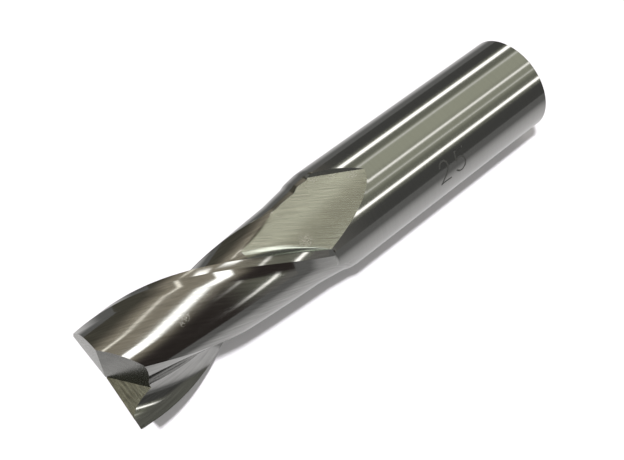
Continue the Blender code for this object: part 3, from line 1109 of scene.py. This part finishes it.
def mix_shaders(tree, factor, first, second):
    """first (1 - factor) + second factor, for two shaders."""
    mix = tree.nodes.new("ShaderNodeMixShader")
    tree.links.new(factor, mix.inputs["Fac"])
    tree.links.new(first, mix.inputs[1])
    tree.links.new(second, mix.inputs[2])
    return mix.outputs[0]


print("pool of light from", POOL[0] / MM, "to", POOL[1] / MM, "mm aside")

# %% [markdown]
# ## Painted pool of light on the paper
# The painted pool of light is a mix of bright and dim paper colours. Its shape is read from the sheet's
# own map, so it stays where the tool lies, whichever way the sheet is turned.

# %% Painted pool of light
def paper_material():
    """White paper with a painted pool of light for reflections, white to the camera, and clear from
    behind.

    The share of painted dim paper is the larger of two smooth steps: aside from the tool, and past its
    tip.
    """
    material, tree, output = shader_tree("white_paper")
    place = node(tree, "ShaderNodeUVMap", uv_map="sideways")
    parts = tree.nodes.new("ShaderNodeSeparateXYZ")
    tree.links.new(place.outputs["UV"], parts.inputs["Vector"])
    aside = smooth_node(tree, math_node(tree, "ABSOLUTE", parts.outputs["X"]), *POOL)
    ahead = smooth_node(tree, parts.outputs["Y"], *TIP_POOL)
    pool = math_node(tree, "MAXIMUM", aside, math_node(tree, "MULTIPLY", ahead, TIP_POOL_SHARE))
    # Painted light: the bright paper of the painted pool, with a painted glow, and the dim paper away
    # from it.
    lit = paper_shader(tree, PAPER_PAINTED_LIT, PAPER_PAINTED_GLOW)
    unlit = paper_shader(tree, PAPER_PAINTED_DIM, 0.0)
    reflected = mix_shaders(tree, pool, lit, unlit)
    seen = tree.nodes.new("ShaderNodeLightPath")
    shown = paper_shader(tree, PAPER_SHOWN, CAMERA_GLOW)
    front = mix_shaders(tree, seen.outputs["Is Camera Ray"], reflected, shown)
    clear = tree.nodes.new("ShaderNodeBsdfTransparent")
    face = tree.nodes.new("ShaderNodeNewGeometry")
    whole = mix_shaders(tree, face.outputs["Backfacing"], front, clear.outputs[0])
    tree.links.new(whole, output.inputs["Surface"])
    return material


paper_finish = paper_material()
print("paper finish", len(paper_finish.node_tree.nodes), "nodes")

# %% [markdown]
# ## The paper
# It's a plane that touches the side of the tool, and it belongs to the stage, not to the object. Its
# map holds the distance aside from the tool and the height along it. From behind it is clear, so
# the tool can be seen from every side.

# %% Paper
PAPER_TURN = math.radians(-86.3)
PAPER_SIZE = 1.6
CORNER_SIGNS = ((-1, -1), (1, -1), (1, 1), (-1, 1))
table_up = Vector((math.cos(PAPER_TURN), math.sin(PAPER_TURN), 0))
half = PAPER_SIZE / 2
side = Vector((-table_up.y, table_up.x, 0))
centre = -table_up * RADIUS + Vector((0, 0, LENGTH / 2))
corners = [centre + side * a * half + Vector((0, 0, b * half)) for a, b in CORNER_SIGNS]
paper_mesh = new_mesh("paper", corners, [(0, 1, 2, 3)])
if paper_mesh.polygons[0].normal.dot(table_up) < 0:
    paper_mesh.flip_normals()
sideways = paper_mesh.uv_layers.new(name="sideways")
for corner in paper_mesh.loops:
    place = paper_mesh.vertices[corner.vertex_index].co
    sideways.data[corner.index].uv = ((place - centre).dot(side), place.z)
paper_mesh.materials.append(paper_finish)
paper = new_object("paper", paper_mesh)
print("paper faces", tuple(round(v, 3) for v in paper_mesh.polygons[0].normal))

# %% [markdown]
# ## Rings of light
# Ground steel shows what stands round it, so its look is mostly the room. Lamps and walls could be
# modelled as glowing planes, but the steel only ever reads a direction, so the room is a world made
# of rings: colours by the angle round the tool's axis. A lamp is a band with soft edges in a ring.

# %% Bands and stops
RAMP_TOP = 4.0
CEILING = (0.60, 0.61, 0.48)
DIM_CEILING = (0.27, 0.275, 0.22)
DARK = (0.10, 0.10, 0.095)
LAMP = (3.2, 3.15, 3.0)
PALE_LAMP = (2.0, 1.97, 1.85)
THIN_LAMP = (1.10, 1.10, 1.00)
BROAD_LAMP = (3.2, 3.2, 3.1)
LINE_LAMP = (2.1, 2.0, 1.75)
WARM_WALL = (0.47, 0.42, 0.33)
FAR_WALL = (0.31, 0.30, 0.28)
BROWN_DARK = (0.115, 0.108, 0.085)
RED_DARK = (0.048, 0.040, 0.036)


def band(middle, width, colour, edge=2.0):
    """Four stops of one lamp: off, on, on, off, with soft edges; None stands for what is round it."""
    reach = width / 2
    return [
        (middle - reach - edge, None),
        (middle - reach, colour),
        (middle + reach, colour),
        (middle + reach + edge, None),
    ]


def ring_stops(base, lamps):
    """The base's stops with the lamps laid over them, sorted by angle, colours by interpolation."""
    angles = [angle for angle, _ in base]
    colours = np.array([colour for _, colour in base])
    stops = []
    for angle, colour in [stop for lamp in lamps for stop in lamp]:
        around = tuple(np.interp(angle, angles, colours[:, k]) for k in range(3))
        stops.append((angle, colour or around))
    covered = [(lamp[0][0], lamp[-1][0]) for lamp in lamps]
    stops += [stop for stop in base if not any(a < stop[0] < b for a, b in covered)]
    return sorted(stops)


print("one lamp has", len(band(0.0, 1.0, LAMP)), "stops")

# %% [markdown]
# ## The three rings
# The low ring is what the shank shows: long soft boxes side by side, a greenish-grey ceiling between
# them and dark walls. The level ring is what the flutes and lands show: one broad lamp, a thin one
# beside it, a warm wall between them and a dark room. The middle ring joins the two: the run-out's
# corner and the flutes' far ends show a wide lamp and the last of the shank's lamps.

# %% Three rings
def low_ring():
    """Colours by the angle in degrees: 0 is towards the viewer, plus to the photo's bottom."""
    base = [
        (-180, DARK), (-88, DARK), (-80, DIM_CEILING), (-56, DIM_CEILING), (-50, CEILING),
        (-22, CEILING), (-17, shade(CEILING, 0.85)), (8, shade(CEILING, 0.80)),
        (16, DIM_CEILING), (36, DIM_CEILING), (42, DARK), (180, DARK),
    ]
    return ring_stops(base, [
        band(-74.0, 4.2, LAMP, 3.5),
        band(-49.0, 2.5, THIN_LAMP),
        band(-11.0, 3.0, PALE_LAMP, 1.5),
        band(6.0, 1.6, THIN_LAMP, 1.5),
        band(29.5, 2.8, LAMP, 2.6),
    ])


def middle_ring():
    """Colours by the same angle, for directions between the low and the level ring."""
    base = [
        (-180, DARK), (-135, DARK), (-112, WARM_WALL), (-60, WARM_WALL), (10, DIM_CEILING),
        (36, DIM_CEILING), (44, shade(FAR_WALL, 0.8)), (180, FAR_WALL),
    ]
    return ring_stops(base, [
        band(-77.0, 10.0, LAMP, 4.0),
        band(-11.0, 3.0, PALE_LAMP, 1.5),
        band(29.5, 2.8, LAMP, 2.6),
    ])


def level_ring():
    """Colours by the same angle, for directions about level with the tool's section."""
    base = [
        (-180, BROWN_DARK), (-95, BROWN_DARK), (-83, shade(WARM_WALL, 0.5)), (-71, WARM_WALL),
        (-6, WARM_WALL), (2, shade(WARM_WALL, 0.7)), (8, shade(WARM_WALL, 0.32)),
        (15, shade(RED_DARK, 1.5)), (24, RED_DARK), (180, RED_DARK),
    ]
    return ring_stops(base, [
        band(-60.5, 2.4, LINE_LAMP),
        band(-15.5, 14.5, BROAD_LAMP, 2.5),
    ])


print("stops of the rings", len(low_ring()), len(middle_ring()), len(level_ring()))

# %% [markdown]
# ## The room
# The rings are colour ramps of a world, mixed by the height of the direction, with a plain level below
# and above them. They lean a little along the tool, as lamps do that aren't parallel to it. A ramp
# holds colours up to 1 only, so the lamps are divided by the top level there and multiplied again at
# the background.

# %% Room
ROOM_TURN = math.radians(108.6)
LOW_LEAN = 24 / 360
LOW_LEAN_RANGE = (-0.36, 0.0)
LEVEL_LEAN = 3.2 / (2 * math.pi)
LEVEL_LEAN_TOP = 0.085
BELOW = (0.19, 0.19, 0.165)
BELOW_RANGE = (-0.74, -0.67)
MIDDLE_RANGE = (-0.38, -0.27)
LEVEL_RANGE = (-0.15, -0.05)
ABOVE = (0.24, 0.24, 0.22)
ABOVE_RANGE = (0.17, 0.32)


def ring_node(tree, place, stops):
    """Colour ramp of a ring, read at the place degrees / 360 + 1 / 2.

    All the places are set before the colours, because a ramp sorts its stops when one moves.
    """
    ramp = tree.nodes.new("ShaderNodeValToRGB")
    elements = ramp.color_ramp.elements
    while len(elements) < len(stops):
        elements.new(1.0)
    for element, (degrees, _) in zip(elements, stops):
        element.position = degrees / 360 + 0.5
    for element, (_, colour) in zip(elements, stops):
        element.color = (*shade(colour, 1 / RAMP_TOP), 1)
    tree.links.new(place, ramp.inputs["Fac"])
    return ramp.outputs["Color"]


def room_colour(tree):
    """Colour of a direction: the angle atan2(-y, x) picks it in each ring, and z mixes the rings."""
    direction = tree.nodes.new("ShaderNodeTexCoord")
    turned_by = node(tree, "ShaderNodeMapping", vector_type="POINT", Rotation=(0, 0, ROOM_TURN))
    parts = tree.nodes.new("ShaderNodeSeparateXYZ")
    tree.links.new(direction.outputs["Generated"], turned_by.inputs["Vector"])
    tree.links.new(turned_by.outputs["Vector"], parts.inputs["Vector"])
    across, up = parts.outputs["Y"], parts.outputs["Z"]
    angle = math_node(tree, "ARCTAN2", math_node(tree, "MULTIPLY", across, -1.0), parts.outputs["X"])
    place = math_node(tree, "MULTIPLY_ADD", angle, 1 / (2 * math.pi), 0.5)
    low_lean = math_node(tree, "MULTIPLY", smooth_node(tree, up, *LOW_LEAN_RANGE), -LOW_LEAN)
    level_height = math_node(tree, "MINIMUM", up, LEVEL_LEAN_TOP)
    level_lean = math_node(tree, "MULTIPLY", level_height, -LEVEL_LEAN)
    leaned = math_node(tree, "ADD", place, low_lean)
    lowest = ring_node(tree, leaned, low_ring())
    middle = ring_node(tree, leaned, middle_ring())
    level = ring_node(tree, math_node(tree, "ADD", place, level_lean), level_ring())
    floor, top = shade(BELOW, 1 / RAMP_TOP), shade(ABOVE, 1 / RAMP_TOP)
    mixed = mix_colours(tree, smooth_node(tree, up, *BELOW_RANGE), floor, lowest)
    mixed = mix_colours(tree, smooth_node(tree, up, *MIDDLE_RANGE), mixed, middle)
    mixed = mix_colours(tree, smooth_node(tree, up, *LEVEL_RANGE), mixed, level)
    return mix_colours(tree, smooth_node(tree, up, *ABOVE_RANGE), mixed, top)


print("the rings turn by", round(math.degrees(ROOM_TURN), 1), "degrees")

# %% [markdown]
# ## The world
# The world's background lights the tool and is what the steel reflects. For the camera's own rays
# Light Path swaps it for plain white, so the picture gets its white ground without any more light.

# %% World
def room_world():
    """World of the rings for light and reflections, and white to the camera."""
    world = bpy.data.worlds.new("room")
    world.use_nodes = True
    tree = world.node_tree
    tree.nodes.clear()
    room = node(tree, "ShaderNodeBackground", Strength=RAMP_TOP)
    tree.links.new(room_colour(tree), room.inputs["Color"])
    plain = node(tree, "ShaderNodeBackground", Color=(1, 1, 1, 1), Strength=1.0)
    seen = tree.nodes.new("ShaderNodeLightPath")
    output = tree.nodes.new("ShaderNodeOutputWorld")
    both = mix_shaders(tree, seen.outputs["Is Camera Ray"], room.outputs[0], plain.outputs[0])
    tree.links.new(both, output.inputs["Surface"])
    return world


bpy.context.scene.world = room_world()
bpy.context.scene.view_settings.view_transform = "Standard"
print("room", len(bpy.context.scene.world.node_tree.nodes), "nodes")

# %% [markdown]
# ## The key lamp
# The tool's shadow on the paper is narrow and soft, so one lamp stands almost straight over the paper
# and a little towards the tip. A sun lamp keeps the shadow the same along the whole tool. It's hidden
# from reflections, because the steel already shows the lamps of the rings.

# %% Key lamp
KEY_ANGLE = math.radians(-16)
KEY_RISE = math.radians(15)
KEY_SIZE = math.radians(5)
KEY_LIGHT = 5.2
key_turn = -ROOM_TURN - KEY_ANGLE
key_from = Vector((
    math.cos(key_turn) * math.cos(KEY_RISE), math.sin(key_turn) * math.cos(KEY_RISE), math.sin(KEY_RISE)
))
key_data = bpy.data.lights.new("key", "SUN")
key_data.energy = KEY_LIGHT
key_data.angle = KEY_SIZE
key = new_object("key", key_data)
key.rotation_euler = key_from.to_track_quat("Z", "Y").to_euler()
key.visible_glossy = False
print("key lamp from", tuple(round(v, 2) for v in key_from))
